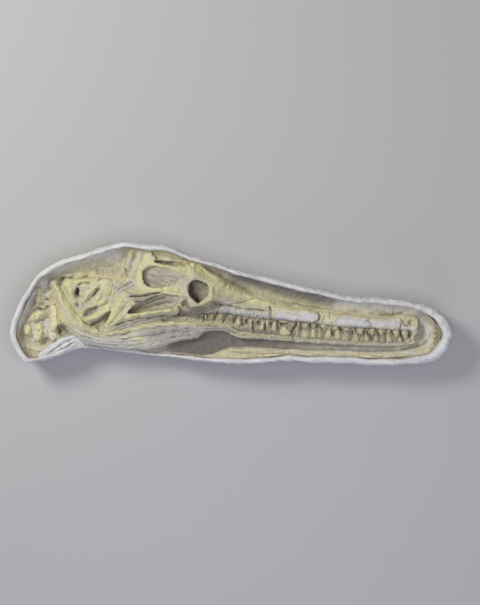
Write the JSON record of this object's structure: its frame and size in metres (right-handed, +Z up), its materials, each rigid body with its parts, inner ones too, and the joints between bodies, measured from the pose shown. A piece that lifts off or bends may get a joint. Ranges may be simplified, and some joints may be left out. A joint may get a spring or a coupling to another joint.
{
  "type": "dyrosaur fossil skull in a plaster field jacket",
  "caption": "Long-snouted fossil skull and lower jaw with teeth, cleaned on one side and lying in rock matrix in an open plaster field jacket.",
  "frame": {"origin": "on the flat underside of the plaster jacket, under the middle of its length and width", "axes": "+X towards the tip of the snout, +Y towards the top of the skull, +Z up out of the jacket towards the cleaned side"},
  "size_m": [1.1028, 0.3065, 0.1059],
  "materials": {
    "plaster": "matte",
    "matrix": "matte",
    "fossil_bone": "matte",
    "snout_bone": "matte",
    "neck_bone": "matte",
    "tooth_enamel": "satin"
  },
  "bodies": {
    "root": {"plaster_jacket": "plaster", "matrix_bed": "matrix", "premaxilla": "snout_bone", "maxilla_front": "snout_bone", "maxilla_middle": "snout_bone", "maxilla_rear": "fossil_bone", "orbital_bones": "fossil_bone", "skull_table": "fossil_bone", "cheek_bar": "fossil_bone", "quadrate": "fossil_bone", "braincase": "fossil_bone", "dentary_front": "fossil_bone", "dentary_rear": "fossil_bone", "jaw_rear": "fossil_bone", "jaw_process": "fossil_bone", "neck_rib": "neck_bone", "neck_arch": "neck_bone", "neck_plate": "neck_bone", "neck_block_top": "neck_bone", "neck_block_low": "neck_bone"}
  },
  "joints": []
}
